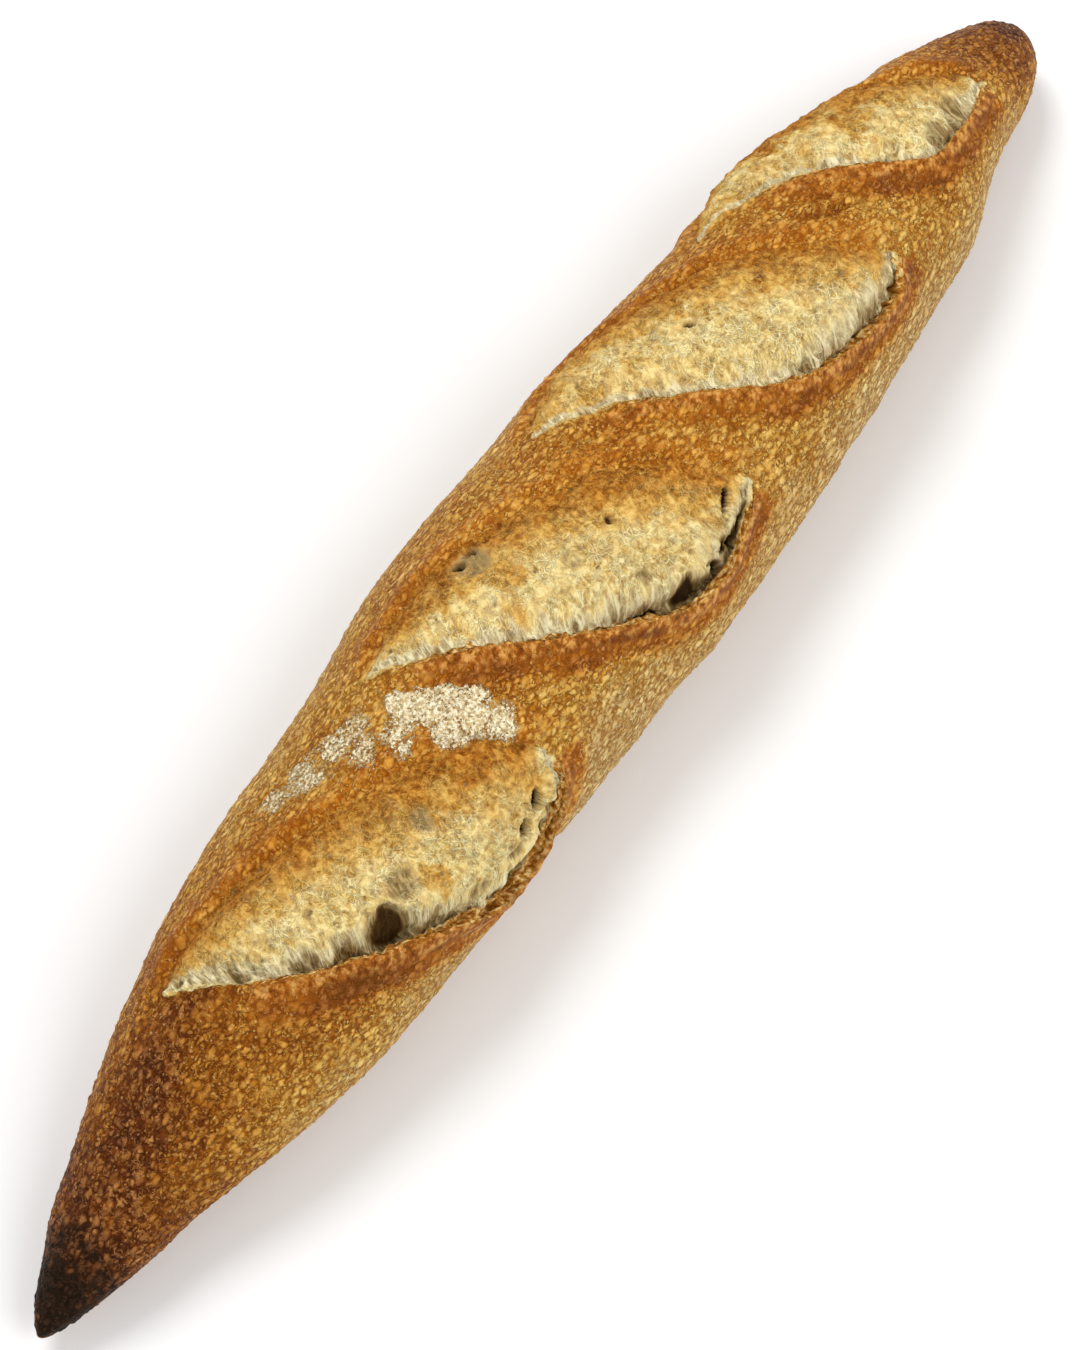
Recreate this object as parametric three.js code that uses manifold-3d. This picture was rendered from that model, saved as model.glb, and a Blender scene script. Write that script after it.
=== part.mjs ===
// A short baguette with four diagonal scores, baked as one piece. Millimetres, +Z up.
// It lies along X with its slender tip at -X and its blunt tip at +X, flat underside on Z = 0.
// Round the loaf, angles are in degrees from the top line, positive towards -Y.

import * as THREE from "three";
import { mergeVertices } from "three/addons/utils/BufferGeometryUtils.js";
import Module from "manifold-3d";

// Driving dimensions.
const LENGTH = 382;
const WIDTH = 66;
const HEIGHT = 51;
const CREASE_DEPTH = 1.2; // of the fold where the crust meets the far side of an opening
const CREASE_REACH = 5;
const EAR_HEIGHT = 3.2; // of the lifted edge of crust, above the loaf's own skin
const EAR_LEAN = 2.4; // of that edge, over the groove under it
const EAR_ROOT = 9; // from the edge to where the lifted crust meets the skin
const GROOVE_DEPTH = 5.5;
const GROOVE_WIDTH = 6;

// Mesh sizes.
const LOAF_RINGS = 78;
const LOAF_SIDES = 36;
const EAR_RINGS = 20;
const EAR_SIDES = 8;
const OUTLINE_STEPS = 30;
const HOLE_RINGS = 8;
const HOLE_SIDES = 12;

// Stations along X. Each value is a radius of the loaf's section, as a share of WIDTH or HEIGHT, at a tip
// that has been rounded off by the circle's own sine; see section().
const HALF_WIDTH = [
  [-191, 0.24], [-170, 0.325], [-140, 0.415], [-100, 0.485], [-50, 0.49], [0, 0.505],
  [50, 0.508], [100, 0.518], [150, 0.545], [175, 0.53], [191, 0.5],
];
const TOP_RADIUS = [
  [-191, 0.25], [-150, 0.43], [-100, 0.53], [-50, 0.56], [0, 0.57], [50, 0.57],
  [100, 0.58], [150, 0.59], [191, 0.51],
];
const UNDER_RADIUS = [[-191, 0.27], [-150, 0.39], [-100, 0.49], [0, 0.51], [150, 0.51], [191, 0.47]];

// Height of the widest line above the table, and how far the loaf bends to +Y, in mm.
const WIDEST_AT = [[-191, 8], [-150, 15], [-100, 20], [0, 22], [100, 21], [150, 17], [191, 12]];
const BEND = [[-191, -2], [-150, 0], [-80, -0.5], [-50, 0], [-10, 1.5], [50, 0.5], [100, 0], [191, -1]];

// The four openings, as [x, angle] points. Both outlines run from the tapered end at -X to the other end:
// lip is the side with the lifted ear, far is the side where the crust folds back. bulge is how high the
// opened crumb swells, and ear is the size of its ear as a share of the full one.
const OPENINGS = [
  {
    lip: [[-126, -34], [-112, 10], [-97, 35], [-80, 52], [-65, 67], [-51, 71], [-41, 62], [-37, 48]],
    far: [[-126, -34], [-118, -41], [-96, -29], [-73, -9], [-51, 12], [-43, 30], [-37, 48]],
    bulge: 2.6,
    ear: 1,
  },
  {
    lip: [[-50, -33], [-36, -8], [-20, 21], [-5, 43], [7, 58], [20, 61], [32, 53], [39, 46]],
    far: [[-50, -33], [-38, -38], [-16, -32], [10, -13], [25, 6], [34, 28], [39, 46]],
    bulge: 3.2,
    ear: 0.95,
  },
  {
    lip: [[17, -36], [30, -18], [41, 0], [54, 22], [66, 38], [82, 48], [97, 50], [107, 38]],
    far: [[17, -36], [25, -50], [38, -58], [55, -46], [74, -31], [90, -4], [99, 16], [107, 38]],
    bulge: 2.8,
    ear: 0.85,
  },
  {
    lip: [[82, -42], [95, -35], [109, -18], [122, 8], [132, 24], [147, 27], [162, 24]],
    far: [[82, -42], [91, -61], [106, -72], [125, -65], [144, -38], [157, -8], [162, 24]],
    bulge: 2.2,
    ear: 0.6,
  },
];

// The one large gas hole, in the first opening: its place on the skin and its three radii.
const GAS_HOLE = { x: -88, angle: 36, along: 4.2, across: 2.8, depth: 8 };

const wasm = await Module();
wasm.setup();

// A smooth curve through [place, value] stations, flat beyond the last ones.
function through(stations, place) {
  const last = stations.length - 1;
  if (place <= stations[0][0]) return stations[0][1];
  if (place >= stations[last][0]) return stations[last][1];
  const slope = (i) => {
    const before = stations[Math.max(i - 1, 0)];
    const after = stations[Math.min(i + 1, last)];
    return (after[1] - before[1]) / (after[0] - before[0]);
  };
  const i = stations.findIndex((station) => station[0] > place) - 1;
  const [from, to] = [stations[i], stations[i + 1]];
  const step = to[0] - from[0];
  const t = (place - from[0]) / step;
  return (
    from[1] * (1 + 2 * t) * (1 - t) ** 2 +
    to[1] * t * t * (3 - 2 * t) +
    step * t * (1 - t) * (slope(i) * (1 - t) - slope(i + 1) * t)
  );
}

// The loaf's section at x. The sine rounds both tips off, as on an ellipsoid.
function section(x) {
  const rounding = Math.sqrt(Math.max(1 - (x / (LENGTH / 2)) ** 2, 0));
  return {
    side: WIDTH * through(HALF_WIDTH, x) * rounding,
    top: HEIGHT * through(TOP_RADIUS, x) * rounding,
    under: HEIGHT * through(UNDER_RADIUS, x) * rounding,
    height: through(WIDEST_AT, x),
    bend: through(BEND, x),
  };
}

// A point on the smooth loaf, before it opened. The underside stays flat on the table.
function skinPoint(x, radians) {
  const s = section(x);
  const up = Math.cos(radians);
  const z = s.height + (up > 0 ? s.top : s.under) * up;
  return new THREE.Vector3(x, s.bend - s.side * Math.sin(radians), Math.max(z, 0));
}

// The skin's outward normal and its two tangents, along X and round towards -Y.
function skinFrame(x, radians) {
  const step = 0.01;
  const along = skinPoint(x + 1, radians).sub(skinPoint(x - 1, radians)).normalize();
  const round = skinPoint(x, radians + step).sub(skinPoint(x, radians - step)).normalize();
  return { along, round, out: along.clone().cross(round).negate().normalize() };
}

// The skin unrolled: x, and the arc from the top line at the local radius.
function unrolled(x, radians) {
  const s = section(x);
  return new THREE.Vector2(x, (radians * (s.side + s.top)) / 2);
}

function outline(points) {
  const curve = new THREE.SplineCurve(points.map(([x, degrees]) => new THREE.Vector2(x, degrees)));
  return curve.getPoints(OUTLINE_STEPS).map((p) => {
    const radians = THREE.MathUtils.degToRad(p.y);
    return { x: p.x, radians, flat: unrolled(p.x, radians) };
  });
}

function distanceTo(line, point) {
  let nearest = Infinity;
  const span = new THREE.Vector2();
  const reach = new THREE.Vector2();
  for (let i = 1; i < line.length; i += 1) {
    span.subVectors(line[i].flat, line[i - 1].flat);
    reach.subVectors(point, line[i - 1].flat);
    const t = THREE.MathUtils.clamp(reach.dot(span) / span.lengthSq(), 0, 1);
    nearest = Math.min(nearest, reach.addScaledVector(span, -t).length());
  }
  return nearest;
}

function holds(loop, point) {
  let inside = false;
  for (let i = 0, j = loop.length - 1; i < loop.length; j = i, i += 1) {
    const [a, b] = [loop[i].flat, loop[j].flat];
    const crosses = a.y > point.y !== b.y > point.y;
    if (crosses && point.x < a.x + ((b.x - a.x) * (point.y - a.y)) / (b.y - a.y)) inside = !inside;
  }
  return inside;
}

const openings = OPENINGS.map((opening) => {
  const lip = outline(opening.lip);
  const far = outline(opening.far);
  return { ...opening, lip, far, loop: [...lip, ...far.toReversed()] };
});

// How far the skin at a point is swollen by the opened crumb, or folded in at its far side.
function swelling(x, radians) {
  const point = unrolled(x, radians);
  let height = 0;
  for (const opening of openings) {
    const toLip = distanceTo(opening.lip, point);
    const toFar = distanceTo(opening.far, point);
    if (holds(opening.loop, point)) {
      const across = toLip / (toLip + toFar);
      const width = Math.min((toLip + toFar) / 20, 1);
      height += opening.bulge * Math.sin(Math.PI * across) * width;
    }
    height -= CREASE_DEPTH * Math.exp(-((toFar / CREASE_REACH) ** 2));
  }
  return height;
}

// A closed skin with a point at each end: place(along, round) gives its points, where along runs from 0 to 1
// between the ends, and round from 0 to 1 about them, counterclockwise to an eye that looks along.
function spindle(rings, sides, place) {
  const geometry = new THREE.SphereGeometry(1, sides, rings);
  const { position, uv } = geometry.attributes;
  for (let i = 0; i < position.count; i += 1) {
    const ring = Math.floor(i / (sides + 1));
    const side = (i % (sides + 1)) % sides;
    const point = place(ring / rings, side / sides);
    position.setXYZ(i, point.x, point.y, point.z);
  }
  geometry.deleteAttribute("normal");
  if (uv) geometry.deleteAttribute("uv");
  return solid(mergeVertices(geometry, 1e-4));
}

function solid(geometry) {
  const mesh = new wasm.Mesh({
    numProp: 3,
    vertProperties: geometry.attributes.position.array,
    triVerts: new Uint32Array(geometry.index.array),
  });
  return new wasm.Manifold(mesh);
}

// Most of the sides go to the upper half, where the openings are.
function roundLoaf(share) {
  const turn = 1 - 2 * share;
  return Math.PI * (0.72 * turn + 0.28 * turn ** 3);
}

function swollenLoaf() {
  return spindle(LOAF_RINGS, LOAF_SIDES, (along, round) => {
    const x = (-LENGTH / 2) * Math.cos(Math.PI * along);
    const radians = roundLoaf(round);
    const point = skinPoint(x, radians);
    const isTip = along === 0 || along === 1;
    if (isTip || Math.abs(radians) > Math.PI / 2) return point;
    return point.addScaledVector(skinFrame(x, radians).out, swelling(x, radians));
  });
}

// A body that follows an opening's lip. Its section is a closed curve through [inwards, outwards] points,
// in mm from the lip: inwards is towards the crumb. It shrinks to nothing at both ends.
function alongLip(opening, points, size) {
  const curve = new THREE.CatmullRomCurve3(
    points.map(([inwards, outwards]) => new THREE.Vector3(inwards, outwards, 0)),
    true,
  );
  const last = opening.lip.length - 1;
  return spindle(EAR_RINGS, EAR_SIDES, (along, round) => {
    const place = along * last;
    const i = Math.min(Math.floor(place), last - 1);
    const [from, to] = [opening.lip[i], opening.lip[i + 1]];
    const x = THREE.MathUtils.lerp(from.x, to.x, place - i);
    const radians = THREE.MathUtils.lerp(from.radians, to.radians, place - i);
    const heading = to.flat.clone().sub(from.flat).normalize();
    const { along: alongX, round: roundY, out } = skinFrame(x, radians);
    const inwards = alongX.multiplyScalar(heading.y).addScaledVector(roundY, -heading.x);
    const fade = size * Math.sin(Math.PI * along) ** 0.6;
    const p = curve.getPoint(round);
    return skinPoint(x, radians).addScaledVector(inwards, p.x * fade).addScaledVector(out, p.y * fade);
  });
}

function groove(opening) {
  const points = [
    [-1, EAR_HEIGHT],
    [GROOVE_WIDTH, EAR_HEIGHT + opening.bulge],
    [GROOVE_WIDTH * 0.55, -GROOVE_DEPTH * 0.45],
    [0, -GROOVE_DEPTH],
    [-1.4, -GROOVE_DEPTH * 0.6],
  ];
  return alongLip(opening, points, 0.6 + 0.4 * opening.ear);
}

function ear(opening) {
  const points = [
    [-EAR_ROOT, -0.8],
    [-EAR_ROOT * 0.4, EAR_HEIGHT * 0.45],
    [EAR_LEAN * 0.6, EAR_HEIGHT],
    [EAR_LEAN, EAR_HEIGHT * 0.8],
    [0, -0.5],
    [-EAR_ROOT * 0.3, -3],
  ];
  return alongLip(opening, points, opening.ear);
}

function gasHole({ x, angle, along, across, depth }) {
  const radians = THREE.MathUtils.degToRad(angle);
  const centre = skinPoint(x, radians);
  const frame = skinFrame(x, radians);
  return spindle(HOLE_RINGS, HOLE_SIDES, (share, round) => {
    const [down, turn] = [Math.PI * share, -2 * Math.PI * round];
    return centre
      .clone()
      .addScaledVector(frame.along, along * Math.sin(down) * Math.cos(turn))
      .addScaledVector(frame.round, across * Math.sin(down) * Math.sin(turn))
      .addScaledVector(frame.out, depth * Math.cos(down));
  });
}

function bakedLoaf() {
  let body = swollenLoaf();
  for (const opening of openings) body = body.subtract(groove(opening));
  for (const opening of openings) body = body.add(ear(opening));
  return body.subtract(gasHole(GAS_HOLE));
}

// The solid as a geometry with its origin below the middle of its own box, on the table.
function centred(body) {
  const made = body.getMesh();
  const geometry = new THREE.BufferGeometry();
  geometry.setAttribute("position", new THREE.BufferAttribute(made.vertProperties, made.numProp));
  geometry.setIndex(new THREE.BufferAttribute(made.triVerts, 1));
  geometry.computeBoundingBox();
  const middle = geometry.boundingBox.getCenter(new THREE.Vector3());
  geometry.translate(-middle.x, -middle.y, -geometry.boundingBox.min.z);
  geometry.computeVertexNormals();
  return geometry;
}

const crust = new THREE.MeshStandardMaterial({ color: 0xb8763a, roughness: 0.7, metalness: 0 });

const loaf = new THREE.Mesh(centred(bakedLoaf()), crust);
loaf.name = "loaf";

const baguette = new THREE.Group();
baguette.add(loaf);

export default baguette;
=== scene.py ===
"""A short baguette with four diagonal scores, seen from above on a pale floor.

The loaf is one dense mesh, worked out on a grid of x and angle round the loaf. Its shape starts as the smooth
CAD loaf. The four openings, their lifted ears, the torn crumb, the gas holes and the crust's blisters then
move the skin, and the same values are kept on the mesh as attributes for the material to read. Lengths are in
mm until the mesh is made. Angles are in degrees from the loaf's top line, positive towards -Y.
"""

import itertools
import math

import bpy
import numpy as np
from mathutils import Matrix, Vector


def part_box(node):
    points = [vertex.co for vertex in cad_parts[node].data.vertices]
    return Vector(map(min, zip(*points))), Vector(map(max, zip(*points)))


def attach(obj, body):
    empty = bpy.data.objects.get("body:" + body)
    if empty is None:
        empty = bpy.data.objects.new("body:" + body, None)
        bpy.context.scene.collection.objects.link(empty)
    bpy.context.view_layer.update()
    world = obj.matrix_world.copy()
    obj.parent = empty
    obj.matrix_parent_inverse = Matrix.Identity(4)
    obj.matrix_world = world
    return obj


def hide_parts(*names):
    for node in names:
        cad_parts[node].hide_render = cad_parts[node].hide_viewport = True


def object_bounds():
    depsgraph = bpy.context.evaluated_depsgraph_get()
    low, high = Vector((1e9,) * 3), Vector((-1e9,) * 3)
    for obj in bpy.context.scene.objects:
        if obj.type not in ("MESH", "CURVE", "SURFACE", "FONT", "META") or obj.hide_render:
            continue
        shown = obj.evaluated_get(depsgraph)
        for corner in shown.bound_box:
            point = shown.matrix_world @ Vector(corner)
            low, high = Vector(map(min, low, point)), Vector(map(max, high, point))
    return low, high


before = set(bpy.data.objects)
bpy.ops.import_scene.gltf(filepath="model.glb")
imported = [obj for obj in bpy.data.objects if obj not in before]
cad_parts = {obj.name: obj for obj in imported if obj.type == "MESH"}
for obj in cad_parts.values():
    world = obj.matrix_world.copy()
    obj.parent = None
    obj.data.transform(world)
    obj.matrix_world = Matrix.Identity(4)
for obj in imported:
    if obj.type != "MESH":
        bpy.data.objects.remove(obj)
cad_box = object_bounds()

MM = 0.001

# The loaf's driving dimensions, the same as the CAD model's.
LENGTH = 382.0
WIDTH = 66.0
HEIGHT = 51.0

# Stations along x: radii of the section as shares of WIDTH or HEIGHT, then heights and bends in mm.
HALF_WIDTH = [
    (-191, 0.28), (-180, 0.30), (-170, 0.33), (-155, 0.375), (-140, 0.418), (-120, 0.462), (-100, 0.487),
    (-50, 0.49), (0, 0.505), (50, 0.508), (100, 0.518), (150, 0.535), (175, 0.515), (191, 0.48),
]
TOP_RADIUS = [
    (-191, 0.25), (-150, 0.43), (-100, 0.53), (-50, 0.56), (0, 0.57), (50, 0.57), (100, 0.58),
    (150, 0.59), (191, 0.51),
]
UNDER_RADIUS = [(-191, 0.27), (-150, 0.39), (-100, 0.49), (0, 0.51), (150, 0.51), (191, 0.47)]
WIDEST_AT = [(-191, 8), (-150, 15), (-100, 20), (0, 22), (100, 21), (150, 17), (191, 12)]
BEND = [(-191, -2), (-150, 0), (-80, -0.5), (-50, 0), (-10, 1.5), (50, 0.5), (100, 0), (191, -1)]

# How far each flank stands out from the even section, in mm: at +Y, then at -Y.
FAR_FLANK = [
    (-185, 0.2), (-167, 0.8), (-149, 0.3), (-131, 0.6), (-122, 1.1), (-104, 1.4), (-86, 1.3), (-68, 0.2),
    (-59, 0.2), (-50, 0.9), (-41, 1.4), (-23, 1.4), (-5, 0.4), (13, -0.8), (31, -1.1), (40, -1.5),
    (58, -1.0), (76, -1.4), (85, -1.4), (103, 0.3), (112, 0.0), (121, -0.4), (130, -1.2), (139, -2.4),
    (148, -2.7), (157, -1.6), (166, -1.9), (184, 0.2),
]
NEAR_FLANK = [
    (-185, -0.4), (-176, 0.2), (-167, 0.4), (-158, 0), (-140, 0.7), (-131, 0.7), (-113, 0), (-95, -1.0),
    (-68, -1.4), (-59, -2.4), (-50, -3.5), (-41, -1.9), (-23, -2.1), (-14, -1.1), (4, -0.1), (13, 0.2),
    (31, -0.7), (58, -1.3), (85, -1.5), (103, -1.5), (121, -0.9), (130, -1.3), (139, -2.8), (148, -4.6),
    (157, -4.6), (166, -3.3), (175, -1.2), (184, 0.4),
]

# The openings. lip is the side with the ear and far the side where the crust folds back, as (x, angle) from
# the tapered end. bulge is the height of the swollen crumb. ear, shelf, gap and grey run along the lip from 0
# to 1: the height of the ear, the width of the torn slope inside it, the depth of the gap at the foot of that
# slope, and how far the shaded, stretched crumb shows beside the gap.
OPENINGS = [
    dict(
        lip=[
            (-126, -34), (-112, 10), (-97, 36), (-82, 57), (-70, 75), (-58, 83), (-47, 76), (-40, 62),
            (-37, 48),
        ],
        far=[(-126, -34), (-118, -41), (-96, -29), (-73, -9), (-51, 12), (-43, 30), (-37, 48)],
        bulge=2.6,
        ear=[(0, 0), (0.15, 0.6), (0.4, 1.6), (0.6, 2.9), (0.75, 3.7), (0.88, 3.3), (0.96, 1.6), (1, 0)],
        shelf=[(0, 0), (0.35, 0.3), (0.55, 1.8), (0.75, 3.0), (0.92, 2.0), (1, 0)],
        gap=[(0, 0), (0.15, 1.2), (0.4, 2.2), (0.6, 2.4), (0.75, 2.6), (0.9, 2.2), (1, 0)],
        grey=[(0, 2), (0.2, 4.5), (0.45, 5.5), (0.6, 4), (0.8, 4), (0.95, 2.5), (1, 1)],
    ),
    dict(
        lip=[(-50, -33), (-36, -8), (-20, 21), (-5, 43), (7, 58), (20, 61), (32, 53), (39, 46)],
        far=[(-50, -33), (-38, -38), (-16, -32), (10, -13), (25, 6), (34, 28), (39, 46)],
        bulge=3.2,
        ear=[(0, 0), (0.15, 0.7), (0.45, 1.2), (0.65, 2.0), (0.8, 2.6), (0.93, 1.8), (1, 0)],
        shelf=[(0, 0), (0.4, 0.2), (0.6, 1.0), (0.85, 1.2), (1, 0)],
        gap=[(0, 0), (0.2, 0.8), (0.45, 1.4), (0.6, 2.6), (0.74, 3.6), (0.88, 4.0), (0.96, 2.2), (1, 0)],
        grey=[(0, 1.5), (0.3, 3), (0.5, 5), (0.7, 8), (0.85, 8), (0.95, 4), (1, 1)],
    ),
    dict(
        lip=[(17, -36), (30, -18), (41, 0), (54, 22), (66, 38), (82, 48), (97, 50), (107, 38)],
        far=[(17, -36), (25, -50), (38, -58), (55, -46), (74, -31), (90, -4), (99, 16), (107, 38)],
        bulge=2.8,
        ear=[(0, 0), (0.15, 0.5), (0.45, 1.0), (0.7, 1.9), (0.85, 2.2), (0.95, 1.3), (1, 0)],
        shelf=[(0, 0), (0.4, 0), (0.6, 0.6), (0.85, 1.2), (1, 0)],
        gap=[(0, 0), (0.2, 0.6), (0.5, 1.2), (0.7, 2.2), (0.88, 2.8), (0.97, 1.4), (1, 0)],
        grey=[(0, 1), (0.4, 2.5), (0.6, 5), (0.75, 7), (0.9, 6.5), (1, 2)],
    ),
    dict(
        lip=[(82, -42), (95, -35), (109, -18), (122, 8), (132, 24), (147, 27), (162, 24)],
        far=[(82, -42), (89, -62), (100, -78), (116, -80), (130, -64), (144, -38), (157, -8), (162, 24)],
        bulge=2.2,
        ear=[(0, 0), (0.2, 0.5), (0.5, 1.0), (0.8, 1.6), (0.95, 0.9), (1, 0)],
        shelf=[(0, 0), (1, 0)],
        gap=[(0, 0), (0.2, 0.5), (0.5, 0.9), (0.75, 1.0), (0.92, 0.8), (1, 0)],
        grey=[(0, 1), (0.4, 1.5), (0.6, 3), (0.85, 4.5), (0.95, 3), (1, 1)],
    ),
]

# Gas holes and hollows in the crumb: x, angle, half size along and across the opening, depth, how steep its
# wall is from 0 to 1, and how much shade is painted in it: 1 is the darkest, and more than 1 spreads that
# towards its rim.
HOLLOWS = [
    (-87.5, 33.5, 5.6, 3.2, 3.8, 0.7, 0.78),
    (-81, 28.5, 4.6, 4.3, 1.9, 0.4, 0.43),
    (-68, 20, 3.0, 3.4, 1.8, 0.5, 0.4),
    (-97, 27, 5.4, 3.2, 2.4, 0.3, 0.65),
    (-104, 14, 3.0, 2.2, 1.4, 0.3, 0.45),
    (-114, -5, 2.6, 1.6, 1.4, 0.4, 0.5),
    (-48, 54, 2.8, 1.3, 4.0, 0.8, 1.8),
    (-54, 58, 1.9, 1.7, 3.4, 0.8, 1.5),
    (-58, 62, 5.0, 1.6, 1.4, 0.2, 0.5),
    (-69, 56, 4.6, 1.3, 1.3, 0.2, 0.4),
    (-15, -20, 5.0, 5.0, 1.9, 0.4, 0.38),
    (-17, -24, 1.4, 1.2, 2.6, 0.8, 1.1),
    (-13, -24, 1.2, 1.0, 2.4, 0.8, 1.0),
    (-4, 9, 2.8, 3.0, 1.2, 0.4, 0.35),
    (4, 33, 3.0, 1.8, 1.0, 0.3, 0.35),
    (8, 11, 0.9, 1.2, 2.2, 0.8, 0.7),
    (-10, 33, 5.5, 2.8, 1.6, 0.35, 0.7),
    (0, 42, 7.0, 3.2, 2.2, 0.35, 0.9),
    (10, 48, 6.0, 3.0, 2.0, 0.35, 0.85),
    (18, 50, 1.2, 2.8, 3.0, 0.6, 1.0),
    (24, 49, 1.1, 2.6, 2.8, 0.6, 1.0),
    (29, 39, 4.2, 0.7, 2.8, 0.7, 1.2),
    (58, -12, 1.5, 1.1, 2.6, 0.8, 0.9),
    (75, 39, 5.0, 2.4, 1.3, 0.3, 0.5),
    (83, 42, 4.6, 2.6, 1.6, 0.3, 0.6),
    (97, 43, 1.0, 3.0, 3.2, 0.6, 1.1),
    (93, 45, 1.0, 3.0, 3.0, 0.6, 1.1),
    (88, 44, 1.0, 2.8, 3.0, 0.6, 1.0),
    (79, 41, 0.9, 2.2, 2.2, 0.5, 0.8),
    (147, 12, 4.4, 3.6, 0.6, 0.2, 0.5),
    (139, 14, 5.0, 3.6, 0.5, 0.2, 0.45),
]

# Patches where the crumb baked darker: x, angle, half size along the loaf and round it, strength.
PATCHES = [
    (-60, 9, 9, 9, 0.95), (-53, 21, 8, 10, 1.1), (-71, -4, 9, 10, 0.8), (-84, -16, 9, 10, 0.8),
    (-75, 37, 2.8, 14, 0.5), (-107, -41, 10, 10, 1.0), (-9, -13, 5, 9, 0.6), (-15, -5, 5, 8, 0.6),
    (-20, 2, 4, 7, 0.38), (-27, -28, 7, 10, 0.8), (7, -12, 10, 9, 1.0), (17, 2, 10, 10, 1.0),
    (67, -28, 14, 13, 0.85), (84, -10, 10, 14, 0.95), (50, -40, 10, 11, 0.8),
    (98, 16, 6, 11, 0.7), (138, -32, 14, 18, 0.9), (127, -20, 10, 10, 0.6), (148, -20, 13, 17, 0.85),
    (152, -4, 9, 12, 0.65), (122, -58, 18, 22, 1.0), (132, -46, 22, 18, 0.8),
    (124, -30, 26, 38, 0.27),
]

# Folds where the crust wrinkled as it spread: (x, angle) points and the depth.
FOLDS = [
    ([(92, -14), (100, -4), (107, 5), (114, 14)], 0.8),
    ([(98, -15), (105, -7), (112, 2)], 0.6),
]

# Dusted flour: x, angle, half size along the loaf and round it, strength.
FLOUR = [
    (-49, -11, 5, 8, 1.0), (-46, 0, 6, 10, 1.0), (-43, 12, 6, 10, 1.0), (-41, 22, 4, 8, 0.95),
    (-50, 8, 5, 9, 1.0), (-55, -8, 5, 9, 0.85), (-59, -26, 5, 8, 0.7), (-62, -15, 5, 8, 0.7),
    (-66, -28, 6, 8, 0.75), (-72, -34, 6, 7, 0.7), (-79, -39, 5, 6, 0.7),
]

# The profile across a lip. Each row is where a point of the flat skin starts, in mm inwards from the lip,
# then where it ends up: inwards, then how much of the ear's height and of the gap's depth it takes.
LIP_PROFILE = [
    (-13.0, -13.0, 0.0, 0.0),
    (-8.5, -8.5, 0.12, 0.0),
    (-5.5, -5.6, 0.26, 0.0),
    (-3.7, -3.8, 0.24, 0.0),
    (-2.4, -2.1, 0.56, 0.0),
    (-1.3, -0.5, 0.92, 0.0),
    (-0.5, 0.4, 1.0, 0.0),
    (0.2, 0.8, 0.8, 0.0),
    (0.9, 0.7, 0.35, 0.1),
    (1.6, 0.2, 0.0, 0.45),
    (2.4, 0.0, 0.0, 0.85),
    (3.2, 0.5, 0.0, 1.0),
    (4.0, 1.5, 0.0, 0.86),
    (5.0, 2.9, 0.0, 0.42),
    (6.5, 5.9, 0.0, 0.1),
    (8.5, 8.5, 0.0, 0.0),
    (13.0, 13.0, 0.0, 0.0),
]
PROFILE_REACH = 13.0
LIP_SIDE = -1  # the crumb is on this side of a lip's heading: 1 for left, -1 for right

# Bands along an opening's edges, in mm: how far each one's middle is from the edge, and its width. Those of
# the far side are measured outwards from it, and those of the ear inwards from the lip.
FAR_RIDGE = (2.6, 2.6)
FAR_CREASE = (-0.8, 1.8)
FAR_STRAP = (2.2, 3.8)
EAR_CREST = (-1.3, 2.0)
EAR_STRAP = (-3.5, 3.2)
EAR_FOOT = (-2.7, 0.9)
EAR_BAND = (-4.6, 2.6)
FAR_RIDGE_HEIGHT = 0.9
FAR_CREASE_DEPTH = 1.0

# Bands across a fold in the crust, likewise.
FOLD_GROOVE = (0, 1.3)
FOLD_RIDGE = (2.8, 1.5)
FOLD_BAND = (0, 3.0)

SWELL_BLUR = 2.2  # mm over which the swollen crumb's height is softened
BAND_DARKNESS = 0.36  # how much darker the crust is baked under an ear
BUMP_HEIGHT = 0.36  # mm, of the finest relief, which the shader adds

RINGS = 1120
SIDES = 440
GRID_STEP = 1.1 * LENGTH / RINGS


# ---------------------------------------------------------------- smooth curves and noise


def through(stations, place):
    """A smooth curve through (place, value) stations, flat beyond the last ones."""
    places, values = np.array(stations, float).T
    slopes = np.gradient(values) / np.gradient(places)
    place = np.clip(place, places[0], places[-1])
    i = np.clip(np.searchsorted(places, place, side="right") - 1, 0, len(places) - 2)
    step = places[i + 1] - places[i]
    t = (place - places[i]) / step
    return (
        values[i] * (1 + 2 * t) * (1 - t) ** 2
        + values[i + 1] * t * t * (3 - 2 * t)
        + step * t * (1 - t) * (slopes[i] * (1 - t) - slopes[i + 1] * t)
    )


def smooth(value, low, high):
    """0 below low, 1 above high, and a soft step between."""
    t = np.clip((value - low) / (high - low), 0, 1)
    return t * t * (3 - 2 * t)


def bell(value, middle, width):
    """1 at the middle, falling away to nothing about two widths from it."""
    return np.exp(-(((value - middle) / width) ** 2))


def hashed(cell, seed):
    """A fixed random number from 0 to 1 for each whole-number cell."""
    mask = 0xFFFFFFFF
    n = (cell[:, 0] * 374761393 + cell[:, 1] * 668265263 + cell[:, 2] * 1440670441 + seed * 974634777) & mask
    n = ((n ^ (n >> 13)) * 1274126177) & mask
    return ((n ^ (n >> 16)) & 0xFFFF) / 65535.0


def lumps(points, size, seed):
    """Soft noise from -1 to 1, with lumps about size mm across."""
    at = points / size
    home = np.floor(at).astype(np.int64)
    t = at - home
    t = t * t * (3 - 2 * t)
    total = np.zeros(len(points))
    for corner in itertools.product((0, 1), repeat=3):
        weight = np.prod(np.where(corner, t, 1 - t), axis=1)
        total += weight * hashed(home + corner, seed)
    return 2 * total - 1


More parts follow.
